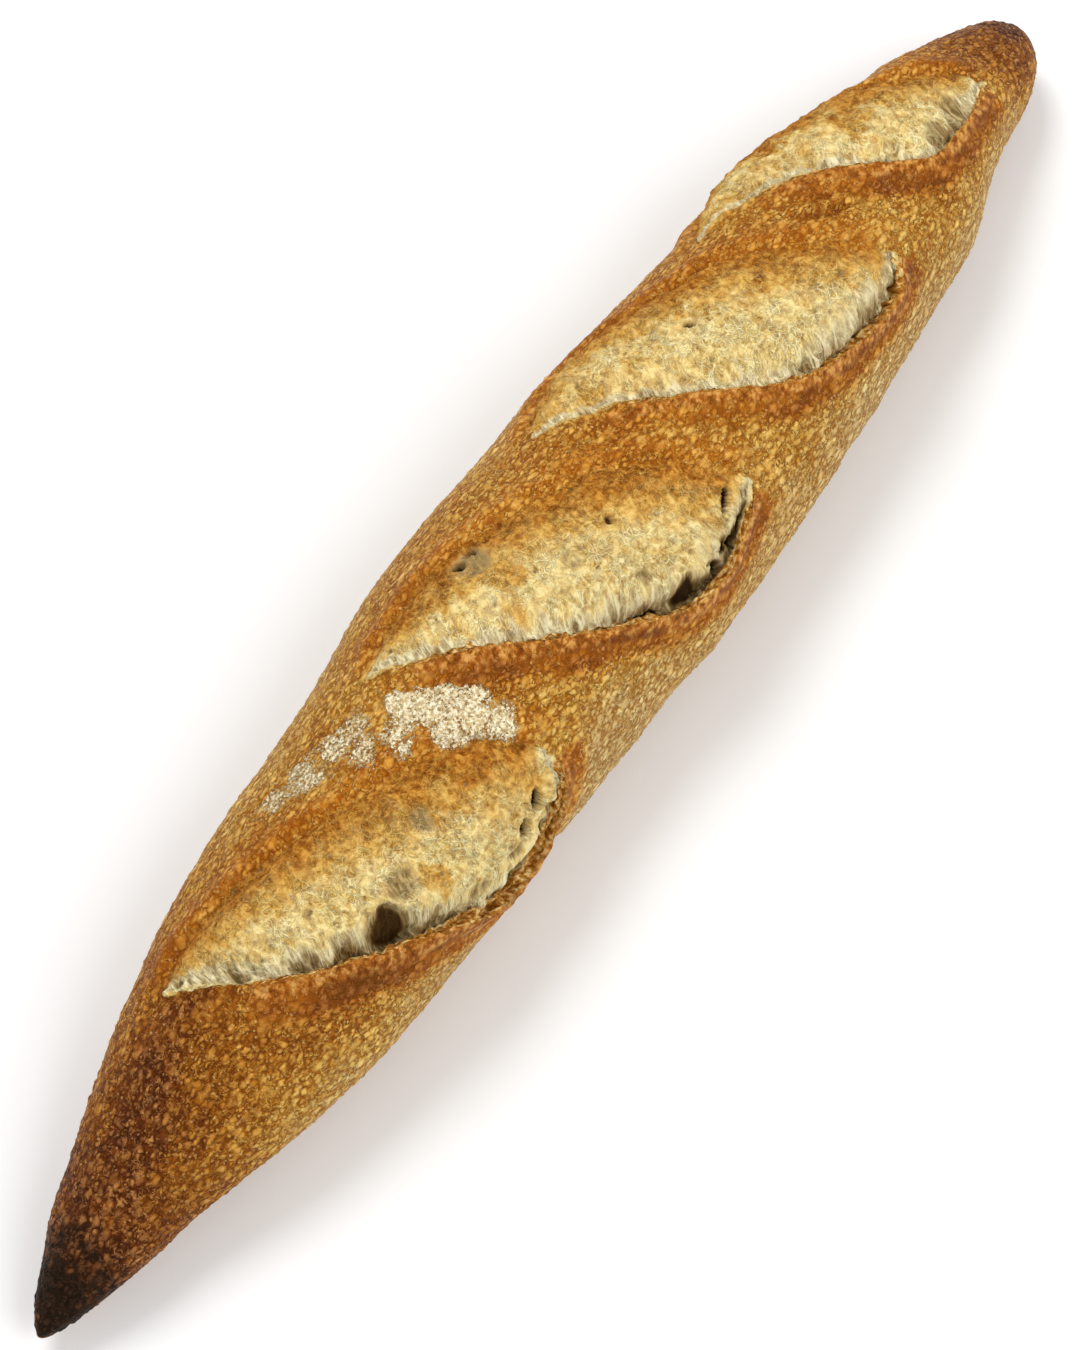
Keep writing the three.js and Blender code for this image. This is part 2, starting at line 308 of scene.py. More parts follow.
def spots(points, size, seed):
    """Scattered spots about size mm apart: distances to the nearest two centres, in sizes, and the nearest
    one's own random number."""
    at = points / size
    home = np.floor(at).astype(np.int64)
    first = np.full(len(points), 9.0)
    second = np.full(len(points), 9.0)
    own = np.zeros(len(points))
    for step in itertools.product((-1, 0, 1), repeat=3):
        cell = home + step
        centre = cell + np.stack([hashed(cell, seed + axis) for axis in range(3)], axis=1)
        distance = np.linalg.norm(at - centre, axis=1)
        nearer = distance < first
        second = np.where(nearer, first, np.minimum(second, distance))
        own = np.where(nearer, hashed(cell, seed + 3), own)
        first = np.minimum(first, distance)
    return first, second, own


# ---------------------------------------------------------------- the smooth loaf


def section(x):
    """Half width, top radius, under radius, height of the widest line and bend of the section at x."""
    rounding = np.sqrt(np.clip(1 - (x / (LENGTH / 2)) ** 2, 0, 1))
    return (
        WIDTH * through(HALF_WIDTH, x) * rounding,
        HEIGHT * through(TOP_RADIUS, x) * rounding,
        HEIGHT * through(UNDER_RADIUS, x) * rounding,
        through(WIDEST_AT, x),
        through(BEND, x),
    )


def skin(x, angle):
    """Points of the smooth loaf; angle is in radians."""
    side, top, under, widest, bend = section(x)
    up, across = np.cos(angle), np.sin(angle)
    z = widest + np.where(up > 0, top, under) * up
    flank = np.where(across > 0, through(NEAR_FLANK, x), through(FAR_FLANK, x)) * across**2
    flank = np.clip(flank, -0.4 * side, 0.4 * side)
    return np.stack([x, bend - (side + flank) * across, np.maximum(z, 0)], axis=-1)


def unit(vectors):
    return vectors / np.maximum(np.linalg.norm(vectors, axis=-1, keepdims=True), 1e-9)


def skin_frame(x, angle):
    """Unit tangents along x and round towards -Y, and the outward normal."""
    along = unit(skin(x + 1, angle) - skin(x - 1, angle))
    turned = unit(skin(x, angle + 0.01) - skin(x, angle - 0.01))
    return along, turned, unit(np.cross(turned, along))


def unrolled(x, angle):
    """The skin laid flat: x, and the arc from the top line at the local radius."""
    side, top, *_ = section(x)
    return np.stack([x, angle * (side + top) / 2], axis=-1)


def ring_places(count):
    """Places along x that give rings an even distance apart over the skin."""
    x = -LENGTH / 2 * np.cos(np.linspace(0, math.pi, 4001))
    side = section(x)[0]
    run = np.concatenate([[0], np.cumsum(np.hypot(np.diff(x), np.diff(side)))])
    return np.interp(np.linspace(0, run[-1], count + 2)[1:-1], run, x)


def side_angles(count):
    """Angles round the loaf, closer together on its upper half."""
    turn = 2 * np.arange(count) / count - 1
    return math.pi * (0.72 * turn + 0.28 * turn**3)


# ---------------------------------------------------------------- the openings


def outline(points, steps=14):
    """A smooth line through (x, angle) points, laid flat."""
    points = np.array(points, float)
    count = (len(points) - 1) * steps + 1
    place = np.linspace(0, len(points) - 1, count)
    numbered = np.arange(len(points))
    x = through(list(zip(numbered, points[:, 0])), place)
    angle = through(list(zip(numbered, points[:, 1])), place)
    return unrolled(x, np.radians(angle))


def turned_left(direction):
    """A flat direction turned a quarter turn."""
    return np.stack([-direction[..., 1], direction[..., 0]], axis=-1)


def nearest_on(line, flat):
    """Distance to a flat line, the nearest place on it as a share of its length, and its heading there."""
    run = np.concatenate([[0], np.cumsum(np.linalg.norm(np.diff(line, axis=0), axis=1))])
    best = np.full(len(flat), np.inf)
    place = np.zeros(len(flat))
    for start, end, begun, done in zip(line[:-1], line[1:], run[:-1], run[1:]):
        span = end - start
        t = np.clip((flat - start) @ span / (span @ span), 0, 1)
        distance = np.linalg.norm(flat - start - t[:, None] * span, axis=1)
        nearer = distance < best
        best = np.where(nearer, distance, best)
        place = np.where(nearer, begun + t * (done - begun), place)
    headings = np.gradient(line, axis=0)
    heading = np.stack([np.interp(place, run, headings[:, axis]) for axis in range(2)], axis=-1)
    return best, place / run[-1], unit(heading)


def inside(loop, flat):
    """Which flat points lie inside a closed flat line."""
    held = np.zeros(len(flat), bool)
    for a, b in zip(loop, np.roll(loop, 1, axis=0)):
        crosses = (a[1] > flat[:, 1]) != (b[1] > flat[:, 1])
        rise = b[1] - a[1] if b[1] != a[1] else 1e-9
        held ^= crosses & (flat[:, 0] < a[0] + (b[0] - a[0]) * (flat[:, 1] - a[1]) / rise)
    return held


def profile(start, column):
    rows = np.array(LIP_PROFILE)
    return through(list(zip(rows[:, 0], rows[:, column])), start)


class Fields:
    """Values on every grid point. out, swell and shift say how far the skin moves: outwards, outwards by the
    swollen crumb, and over the flat skin. The others are for the material to read."""

    def __init__(self, count):
        for name in (
            "out", "swell", "crumb", "toast", "ridge", "strap", "crease", "band", "fringe", "hollow",
            "near_lip", "strand",
        ):
            setattr(self, name, np.zeros(count))
        self.shift = np.zeros((count, 2))
        self.fibre = np.zeros((count, 2))

    def raise_to(self, name, where, values):
        kept = getattr(self, name)
        kept[where] = np.maximum(kept[where], values)


def soften(values, reach):
    """Blurs a value on the grid over about reach mm. The grid may wrap round, as both tips hold nothing."""
    grid = values.reshape(RINGS, SIDES)
    radius = reach / GRID_STEP
    steps = np.arange(-int(2 * radius), int(2 * radius) + 1)
    weights = np.exp(-((steps / radius) ** 2))
    weights /= weights.sum()
    for axis in (0, 1):
        grid = sum(weight * np.roll(grid, step, axis=axis) for step, weight in zip(steps, weights))
    return grid.ravel()


def open_up(fields, opening, flat, points):
    """Adds one opening: its ear, the gap under it, the swollen crumb and the crease at its far side. Returns
    its middle and its lip, on the flat skin."""
    lip = outline(opening["lip"])
    far = outline(opening["far"])
    corners = np.concatenate([lip, far])
    middle = corners.mean(axis=0)
    run = unit(lip[-1] - lip[0])
    low, high = corners.min(axis=0) - PROFILE_REACH - 2, corners.max(axis=0) + PROFILE_REACH + 2
    close = np.flatnonzero(((flat > low) & (flat < high)).all(axis=1))
    at, spot = flat[close], points[close]
    local = np.stack([(at - middle) @ run, (at - middle) @ turned_left(run)], axis=1)

    to_lip, place, heading = nearest_on(lip, at)
    to_far, _, _ = nearest_on(far, at)
    held = inside(np.concatenate([lip, far[::-1]]), at)
    inwards = np.where(held, to_lip, -to_lip)
    outer = np.where(held, -to_far, to_far)
    width = to_lip + to_far
    on_lip = (place > 0.001) & (place < 0.999)
    room = np.where(held, smooth(width, 2, 14), 1) * on_lip
    sideways = turned_left(heading) * LIP_SIDE

    # Noise: fine and broad tearing, and the comb of strands that cross the gap.
    fine, broad = lumps(spot, 1.2, 31), lumps(spot, 4.5, 32)
    comb = lumps(np.stack([local[:, 0], local[:, 1] / 2.4, spot[:, 2] * 0.2], axis=1), 1.25, 35)
    torn_edge = (0.3 * fine + 0.4 * lumps(spot, 2.6, 39)) * smooth(inwards, -1.4, 0.2)
    rough = torn_edge + (0.75 * comb + 0.5 * broad) * smooth(inwards, 1.8, 4.0)
    uneven = 1 + 0.26 * lumps(spot, 5, 34) + 0.12 * lumps(spot, 2.4, 36)
    ear = through(opening["ear"], place) * uneven * on_lip
    closed = np.clip(0.85 + 0.7 * broad + 0.6 * lumps(spot, 2.4, 33), 0.1, 1.3)
    gap = through(opening["gap"], place) * room * closed
    shelf = through(opening["shelf"], place) * room
    slope = smooth((inwards - 0.9) / np.maximum(shelf, 0.1), 0, 1.7) * smooth(-inwards, -14, -6)
    past_slope = inwards - np.where(held, shelf * slope, 0)
    widen = np.where(held, 1 + 0.20 * np.maximum(gap - 1.4, 0), 1)
    start = np.clip(past_slope / widen + rough, -PROFILE_REACH, PROFILE_REACH)
    lean = smooth(ear, 0, 1.5) * room
    moved = (profile(start, 1) - start) * lean * widen
    fields.shift[close] += sideways * moved[:, None]
    fields.out[close] += profile(start, 2) * ear - profile(start, 3) * gap

    across = to_lip / np.maximum(width, 1e-6)
    swell = opening["bulge"] * np.sin(math.pi * across) * np.minimum(width / 20, 1)
    fields.swell[close] += np.where(held, swell, 0)
    off_lip = smooth(to_lip, 2, 9)
    wavy = outer + 1.0 * broad
    fields.out[close] += FAR_RIDGE_HEIGHT * bell(wavy, *FAR_RIDGE) * off_lip
    fields.out[close] -= FAR_CREASE_DEPTH * bell(wavy, *FAR_CREASE) * off_lip

    edge = smooth(inwards + 0.4 * fine, 0.6, 1.2) * smooth(-outer + 1.6 * broad + 0.6 * fine, -1.0, 1.8)
    fields.raise_to("crumb", close, np.where(held, edge, 0))
    toast_reach = 4.6 + 0.25 * width
    fields.raise_to("toast", close, 1.1 * bell(to_far, 0, toast_reach) * off_lip)
    fields.raise_to("ridge", close, bell(inwards, *EAR_CREST) * smooth(ear, 0.1, 0.9))
    fields.raise_to("strap", close, bell(wavy, *FAR_STRAP) * off_lip)
    fields.raise_to("strap", close, bell(inwards + broad, *EAR_STRAP) * smooth(ear, 0.1, 0.8))
    foot = bell(inwards + 0.5 * broad, *EAR_FOOT) * smooth(ear, 0.3, 1.4)
    # Painted shade along the foot of the ear, where it meets the crust.
    fields.raise_to("crease", close, 0.75 * foot * smooth(lumps(spot, 3.5, 37), -0.7, 0.3))
    fields.raise_to("band", close, bell(inwards + broad, *EAR_BAND) * smooth(ear, 0.2, 1.3))
    torn_width = 2.4 + 1.1 * shelf - 1.0 * fine - 0.8 * broad
    torn = smooth(inwards + 0.6 * fine, 0.0, 0.5) * smooth(torn_width - inwards, 0, 0.8)
    fields.raise_to("fringe", close, torn * smooth(ear, 0.3, 1.0))
    grey = through(opening["grey"], place) * (1 + 0.35 * broad)
    reach = grey + 3.0 + shelf - inwards
    shaded = smooth(reach + 0.8 * comb, 0, 0.7 * grey + 0.6) * smooth(past_slope, 1.2, 2.4)
    fields.raise_to("near_lip", close, np.where(held, shaded, 0))
    # Painted shade: the gap under the ear darkens with its depth, and the crumb beside it greys, most near
    # the gap.
    gap_shade = 0.75 * smooth(profile(start, 3) * gap, 1.0, 4.6) * smooth(past_slope, 1.0, 2.0)
    gap_side_shade = (0.20 + 0.45 * bell(past_slope, 0, 5.0) * smooth(gap, 1.0, 2.4)) * shaded
    fields.raise_to("hollow", close, np.where(held, np.maximum(gap_side_shade, gap_shade), 0))
    fields.fibre[close] = local
    return middle, lip


def hollow_out(fields, hollow, placed, flat, points):
    """Adds one gas hole or hollow to the crumb, turned to run along the lip of the nearest opening, with
    painted shade in it.
    """
    x, angle, along, across, depth, steep, dark = hollow
    centre = unrolled(np.array([float(x)]), np.radians([angle]))[0]
    _, lip = min(placed, key=lambda opening: np.linalg.norm(opening[0] - centre))
    run = nearest_on(lip, centre[None])[2][0]
    reach = 2.2 * max(along, across)
    close = np.flatnonzero((np.abs(flat - centre) < reach).all(axis=1))
    local = flat[close] - centre
    left = turned_left(run)
    local = np.stack([(local @ run) / along, (local @ left) / across], axis=1)
    ragged = 0.16 * lumps(points[close], 1.4, 41) + 0.14 * lumps(points[close], 3.0, 42)
    distance = np.linalg.norm(local, axis=1) + ragged
    wall = 1.0 - 0.75 * steep
    bowl = smooth(-distance, -1.05, -1.05 + wall)
    rim = bell(distance, 1.15, 0.18) * 0.3 * steep
    fields.out[close] += rim - depth * bowl
    pinch = steep * 0.22 * smooth(distance, 0.2, 0.8) * smooth(-distance, -1.5, -0.9)
    outwards = unit(local) * pinch[:, None] * min(along, across)
    fields.shift[close] += outwards[:, :1] * run + outwards[:, 1:] * left
    # Painted shade inside the hole, as strong as its darkness in the table.
    fields.raise_to("hollow", close, dark * smooth(-distance, -1.0, -0.75 + 0.5 * wall))


def fold_in(fields, fold, flat, points):
    """Adds one wrinkle to the crust: a groove between two low ridges."""
    stations, depth = fold
    line = outline(stations)
    close = np.flatnonzero(((flat > line.min(axis=0) - 8) & (flat < line.max(axis=0) + 8)).all(axis=1))
    distance, place, _ = nearest_on(line, flat[close])
    distance += 1.2 * lumps(points[close], 3, 46)
    ends = smooth(place, 0, 0.4) * smooth(-place, -1, -0.6)
    groove = bell(distance, *FOLD_GROOVE) * ends
    fields.out[close] += depth * (0.6 * bell(distance, *FOLD_RIDGE) * ends - groove)
    # Painted shade along the fold's groove.
    fields.raise_to("crease", close, 0.5 * groove)
    fields.raise_to("band", close, 0.6 * bell(distance, *FOLD_BAND) * ends)


def crumb_relief(fields, points):
    """Torn crumb: soft lumps, curling strands, small pores, and stretched gas cells beside the lip."""
    run, across = fields.fibre[:, 0] + 1.4 * lumps(points, 3.0, 50), fields.fibre[:, 1]
    stretched = np.stack([run, across / 2.4, points[:, 2] * 0.3], axis=1)
    coarse = np.clip(1 - 2.6 * np.abs(lumps(stretched, 2.8, 51)), 0, 1)
    fine = np.clip(1 - 2.4 * np.abs(lumps(points + 0.6 * run[:, None], 1.5, 52)), 0, 1)
    strand = np.maximum(coarse, 0.7 * fine)
    first, second, _ = spots(stretched, 2.8, 53)
    cell = smooth(second - first, 0.03, 0.4) * fields.near_lip * smooth(lumps(points, 5, 58), -0.5, 0.2)
    pore_first, _, pore_own = spots(points, 2.6, 57)
    pore = smooth(0.3 * pore_own - pore_first, 0, 0.1) * smooth(pore_own, 0.82, 0.9)
    relief = 0.8 * lumps(points, 7, 54) + 0.6 * lumps(points, 3.4, 55) + 0.55 * coarse + 0.24 * fine
    fields.out += fields.crumb * (relief - 0.7 * pore - 1.0 * cell)
    fields.strand = strand * fields.crumb
    # Painted shade in the stretched cells and the pores.
    fields.raise_to("hollow", slice(None), fields.crumb * np.maximum(0.48 * cell, 0.4 * pore))


def blisters(points, crust):
    """Blistered crust: a signed field, above 0 on the blisters, and their height."""
    bent = points + 0.5 * np.stack([lumps(points, 1.9, seed) for seed in (61, 62, 63)], axis=1)
    large, _, large_own = spots(bent * (0.8, 1.15, 1.15), 2.7, 64)
    small, _, small_own = spots(bent * (1.2, 0.85, 0.85), 1.5, 70)
    large_field = 1 - large / (0.12 + 0.42 * large_own)
    small_field = 1 - small / (0.16 + 0.38 * small_own)
    field = np.maximum(large_field, small_field)
    height = 0.28 * np.sqrt(np.clip(large_field, 0, 1)) + 0.18 * np.sqrt(np.clip(small_field, 0, 1))
    return np.clip(field, -1, 1), np.minimum(height, 0.36) * crust


def browning(points, x, angle):
    """How dark the crust is baked, from 0, pale, to 1, nearly black."""
    degrees = np.degrees(angle)
    bake = 0.40 + 0.09 * lumps(points, 26, 81) + 0.10 * lumps(points, 9, 82)
    # Darker before the first opening and at both tips.
    bake += 0.38 * bell(x, -141, 29) * bell(degrees, -14, 52)
    bake += 0.32 * smooth(-x, 130, 168)
    bake += 0.34 * smooth(x, 150, 182)
    # Paler between the last two openings and down both flanks.
    bake -= 0.08 * bell(x, 102, 14) * bell(degrees, 2, 22)
    bake -= 0.10 * smooth(degrees, 0, 35) * smooth(x, -110, -60)
    bake -= 0.25 * smooth(degrees, 40, 80) * smooth(x, -150, -110)
    bake -= 0.15 * smooth(-degrees, 45, 80) * smooth(x, -90, -20)
    # Nearly black at the slender tip.
    return np.minimum(bake, 0.80) + 0.30 * smooth(-x, 164, 184)


def blots(stations, x, angle, ragged):
    """Soft-edged blots at (x, angle, half x, half angle, strength) stations; ragged breaks up their edges."""
    degrees = np.degrees(angle)
    total = np.zeros(len(x))
    for spot_x, spot_angle, half_x, half_angle, strength in stations:
        distance = np.hypot((x - spot_x) / half_x, (degrees - spot_angle) / half_angle) + ragged
        total = np.maximum(total, strength * smooth(-distance, -1.3, -0.45))
    return total


# ---------------------------------------------------------------- the loaf's mesh


def grid_faces(rings, sides):
    """Quads between rings, and a fan of triangles at each tip. Vertices are the rings, then the two tips."""
    ring, side = np.meshgrid(np.arange(rings - 1), np.arange(sides), indexing="ij")
    ring, side = ring.ravel(), side.ravel()
    after = (side + 1) % sides
    here, beyond = ring * sides, (ring + 1) * sides
    quads = np.stack([here + side, here + after, beyond + after, beyond + side], axis=1)
    side = np.arange(sides)
    after = (side + 1) % sides
    last = (rings - 1) * sides
    low_tip, high_tip = rings * sides, rings * sides + 1
    first_fan = np.stack([after, side, np.full(sides, low_tip)], axis=1)
    last_fan = np.stack([last + side, last + after, np.full(sides, high_tip)], axis=1)
    return quads, np.concatenate([first_fan, last_fan])


def make_mesh(name, points, quads, triangles):
    """A mesh from arrays, smooth-shaded."""
    mesh = bpy.data.meshes.new(name)
    corners = np.concatenate([quads.ravel(), triangles.ravel()]).astype(np.int32)
    sizes = np.concatenate([np.full(len(quads), 4), np.full(len(triangles), 3)]).astype(np.int32)
    starts = np.concatenate([[0], np.cumsum(sizes)[:-1]]).astype(np.int32)
    mesh.vertices.add(len(points))
    mesh.vertices.foreach_set("co", points.astype(np.float32).ravel())
    mesh.loops.add(len(corners))
    mesh.loops.foreach_set("vertex_index", corners)
    mesh.polygons.add(len(sizes))
    mesh.polygons.foreach_set("loop_start", starts)
    mesh.update(calc_edges=True)
    mesh.shade_smooth()
    return mesh


def unroll(mesh, quads, triangles):
    """A flat map for the loaf's textures, with its seam along the middle of the underside."""
    corners = np.concatenate([quads.ravel(), triangles.ravel()])
    ring = np.where(corners < RINGS * SIDES, corners // SIDES + 1, 0)
    ring = np.where(corners == RINGS * SIDES + 1, RINGS + 1, ring)
    side = (corners % SIDES).astype(float)
    sizes = [(quads, 0, 4), (triangles, quads.size, 3)]
    for faces, begun, size in sizes:
        part = side[begun:begun + faces.size].reshape(-1, size)
        wraps = (part.max(axis=1) - part.min(axis=1)) > SIDES / 2
        part[wraps[:, None] & (part == 0)] = SIDES
        side[begun:begun + faces.size] = part.ravel()
    fans = side[quads.size:].reshape(-1, 3)
    fans[:, 2] = fans[:, :2].mean(axis=1)
    side[quads.size:] = fans.ravel()
    placed = np.stack([ring / (RINGS + 1), side / SIDES], axis=1)
    mesh.uv_layers.new(name="OFBake").data.foreach_set("uv", placed.astype(np.float32).ravel())


def keep(mesh, name, values):
    """Keeps a value or a vector for each vertex, for the material to read."""
    if values.ndim == 1:
        mesh.attributes.new(name, "FLOAT", "POINT").data.foreach_set("value", values.astype(np.float32))
    else:
        data = mesh.attributes.new(name, "FLOAT_VECTOR", "POINT").data
        data.foreach_set("vector", values.astype(np.float32).ravel())


def with_tips(values):
    """Adds values for the two tips, each the mean of the ring beside it."""
    first, last = values[:SIDES].mean(axis=0), values[-SIDES:].mean(axis=0)
    return np.concatenate([values, first[None], last[None]])


def bake_loaf():
    """The whole loaf as one object, where the CAD loaf stands, and how far its middle had to move."""
    x, angle = (a.ravel() for a in np.meshgrid(ring_places(RINGS), side_angles(SIDES), indexing="ij"))
    points = skin(x, angle)
    flat = unrolled(x, angle)
    along, turned, normal = skin_frame(x, angle)

    fields = Fields(len(x))
    placed = [open_up(fields, opening, flat, points) for opening in OPENINGS]
    for hollow in HOLLOWS:
        hollow_out(fields, hollow, placed, flat, points)
    for fold in FOLDS:
        fold_in(fields, fold, flat, points)
    fields.out += soften(fields.swell, SWELL_BLUR)
    ragged = 0.42 * lumps(points, 4.5, 85) + 0.34 * lumps(points, 2.0, 86)
    toasted = np.maximum(fields.toast, blots(PATCHES, x, angle, ragged))
    crumb_relief(fields, points)

    upper = smooth(np.cos(angle), -0.75, -0.35)
    crust = (1 - fields.crumb) * (1 - 0.7 * fields.ridge) * upper
    field, height = blisters(points, crust)
    body = 0.7 * lumps(points, 24, 91) + 0.35 * lumps(points, 10, 92)
    fields.out += height + body * upper

    moved = points + normal * fields.out[:, None]
    moved += along * fields.shift[:, :1] + turned * fields.shift[:, 1:]
    moved[:, 2] = np.maximum(moved[:, 2], 0)

    solid = with_tips(moved)
    box_low, box_high = (np.array(corner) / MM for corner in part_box("loaf"))
    shift = (box_low + box_high) / 2 - (solid.min(axis=0) + solid.max(axis=0)) / 2
    shift[2] = 0
    faces = grid_faces(RINGS, SIDES)
    mesh = make_mesh("baguette_loaf", (solid + shift) * MM, *faces)
    unroll(mesh, *faces)
    for name, values in (
        ("rest", points),
        ("fibre", np.concatenate([fields.fibre, 0.2 * points[:, 2:]], axis=1)),
        ("blister", field),
        ("bake", browning(points, x, angle) + BAND_DARKNESS * fields.band),
        ("crumb", fields.crumb),
        ("toast", toasted),
        ("ridge", fields.ridge),
        ("strap", fields.strap),
        ("crease", fields.crease),
        ("strand", fields.strand),
        ("fringe", fields.fringe),
        ("hollow", fields.hollow),
        ("near_lip", fields.near_lip),
        ("flour", blots(FLOUR, x, angle, ragged) * (1 - fields.crumb)),
        ("under", 1 - upper),
    ):
        keep(mesh, name, with_tips(values))
    loaf = bpy.data.objects.new("baguette_loaf", mesh)
    bpy.context.scene.collection.objects.link(loaf)
    return loaf, shift


# ---------------------------------------------------------------- the material


def srgb(red, green, blue):
    """A colour given as 0 to 255 on screen, as a shader colour."""
    shares = [v / 255 for v in (red, green, blue)]
    return (*(((v + 0.055) / 1.055) ** 2.4 if v > 0.04045 else v / 12.92 for v in shares), 1)


class Shader:
    """One material's nodes."""

    def __init__(self, name):
        self.material = bpy.data.materials.new(name)
        self.material.use_nodes = True
        self.tree = self.material.node_tree
        self.surface = self.tree.nodes["Principled BSDF"]

    def make(self, kind, inputs, output=0, **settings):
        node = self.tree.nodes.new(kind)
        for name, value in settings.items():
            setattr(node, name, value)
        for name, value in inputs.items():
            self.feed(node.inputs[name], value)
        return node.outputs[output]

    def feed(self, socket, value):
        if isinstance(value, bpy.types.NodeSocket):
            self.tree.links.new(value, socket)
        else:
            socket.default_value = value

    def read(self, name):
        return self.make("ShaderNodeAttribute", {}, "Fac", attribute_name=name)

    def read_vector(self, name):
        return self.make("ShaderNodeAttribute", {}, "Vector", attribute_name=name)

    def noise(self, vector, size, detail=2.0, roughness=0.5, distortion=0.0):
        inputs = {"Vector": vector, "Scale": 1 / size}
        inputs |= {"Detail": detail, "Roughness": roughness, "Distortion": distortion}
        return self.make("ShaderNodeTexNoise", inputs)

    def stretch(self, vector, scale, rotation=(0, 0, 0)):
        inputs = {"Vector": vector, "Scale": scale, "Rotation": [math.radians(turn) for turn in rotation]}
        return self.make("ShaderNodeMapping", inputs)

    def wander(self, vector, size, amount):
        """The vector, moved about by noise."""
        moves = self.make("ShaderNodeTexNoise", {"Vector": vector, "Scale": 1 / size, "Detail": 1.0}, "Color")
        moves = self.make("ShaderNodeVectorMath", {0: moves, 1: (0.5, 0.5, 0.5)}, operation="SUBTRACT")
        moves = self.make("ShaderNodeVectorMath", {0: moves, "Scale": amount}, operation="SCALE")
        return self.make("ShaderNodeVectorMath", {0: vector, 1: moves}, operation="ADD")

    def dabs(self, vector, size):
        """Scattered domes of mixed sizes, about size mm apart: 1 at their middles, 0 at their edges and below
        0 outside, and each one's own strength."""
        cells = self.tree.nodes.new("ShaderNodeTexVoronoi")
        self.feed(cells.inputs["Vector"], vector)
        cells.inputs["Scale"].default_value = 1 / size
        own = self.tree.nodes.new("ShaderNodeSeparateColor")
        self.feed(own.inputs["Color"], cells.outputs["Color"])
        radius = self.add(self.times(own.outputs["Red"], 0.42), 0.18)
        dome = self.math("SUBTRACT", 1.0, self.math("DIVIDE", cells.outputs["Distance"], radius))
        return dome, self.add(self.times(own.outputs["Green"], 0.65), 0.35)

    def cracks(self, vector, size, width):
        """Thin lines between cells about size mm across: 1 on a line, 0 off it."""
        inputs = {"Vector": vector, "Scale": 1 / size}
        edge = self.make("ShaderNodeTexVoronoi", inputs, "Distance", feature="DISTANCE_TO_EDGE")
        return self.step(edge, width, 0.0)

    def threads(self, vector, size, width):
        """Thin curling lines: 1 on a line, 0 off it."""
        noise = self.noise(vector, size, 2, 0.5, 0.8)
        return self.step(self.math("ABSOLUTE", self.math("SUBTRACT", noise, 0.5)), width, 0.0)

    def math(self, operation, a, b=0.0):
        return self.make("ShaderNodeMath", {0: a, 1: b}, operation=operation)

    def add(self, a, b):
        return self.math("ADD", a, b)

    def times(self, a, b):
        return self.math("MULTIPLY", a, b)

    def shake(self, value, noise, amount):
        """value with noise added, about its middle."""
        return self.add(value, self.times(self.math("SUBTRACT", noise, 0.5), amount))

    def step(self, value, low, high):
        inputs = {"Value": value, "From Min": low, "From Max": high}
        return self.make("ShaderNodeMapRange", inputs, interpolation_type="SMOOTHSTEP")

    def ramp(self, factor, stops):
        node = self.tree.nodes.new("ShaderNodeValToRGB")
        ramp = node.color_ramp
        while len(ramp.elements) < len(stops):
            ramp.elements.new(0.5)
        for element, (place, colour) in zip(ramp.elements, stops):
            element.position = place
            element.color = srgb(*colour)
        self.feed(node.inputs["Fac"], factor)
        return node.outputs["Color"]

    def mix(self, factor, a, b):
        """A mix of two colours."""
        return self.make("ShaderNodeMix", {0: factor, 6: a, 7: b}, 2, data_type="RGBA")

    def bump(self, height, distance):
        return self.make("ShaderNodeBump", {"Height": height, "Distance": distance, "Strength": 1.0})


def crust_marks(s, rest):
    """The crust's skin: pale domes, palest in their middles partly as a painted highlight, the painted shade
    in lines round them and tiny painted glints, each 0 to 1.
    """
    bent = s.wander(rest, 1.6, 1.3)
    long_dome, long_own = s.dabs(s.stretch(bent, (0.62, 1.1, 1.1), (0, 0, 20)), 1.9)
    slant_dome, slant_own = s.dabs(s.stretch(bent, (0.7, 1.15, 1.15), (30, 40, -60)), 1.4)
    long_dabs = s.times(s.step(long_dome, 0.0, 0.65), long_own)
    slant_dabs = s.times(s.step(slant_dome, 0.0, 0.65), slant_own)
    worms = s.times(s.threads(bent, 2.0, 0.05), s.step(s.noise(rest, 1.8, 2), 0.44, 0.54))
    # Pale blisters; the palest colour in their middles is partly a painted highlight.
    domes = s.math("MAXIMUM", s.math("MAXIMUM", long_dabs, slant_dabs), s.times(worms, 0.9))
    patchy = s.step(s.noise(rest, 7, 2), 0.36, 0.62)
    domes = s.times(domes, s.add(s.times(patchy, 0.5), 0.5))
    nearest = s.math("MAXIMUM", long_dome, slant_dome)
    # Painted shade: dark lines round the blisters.
    rim_shade = s.step(s.math("ABSOLUTE", s.add(nearest, 0.25)), 0.35, 0.0)
    # Painted glints: tiny bright dots on the crust.
    glint_dome, glint_own = s.dabs(s.wander(rest, 1.0, 0.8), 0.85)
    glint_specks = s.times(s.step(glint_dome, 0.1, 0.6), s.step(glint_own, 0.6, 0.9))
    return domes, rim_shade, glint_specks


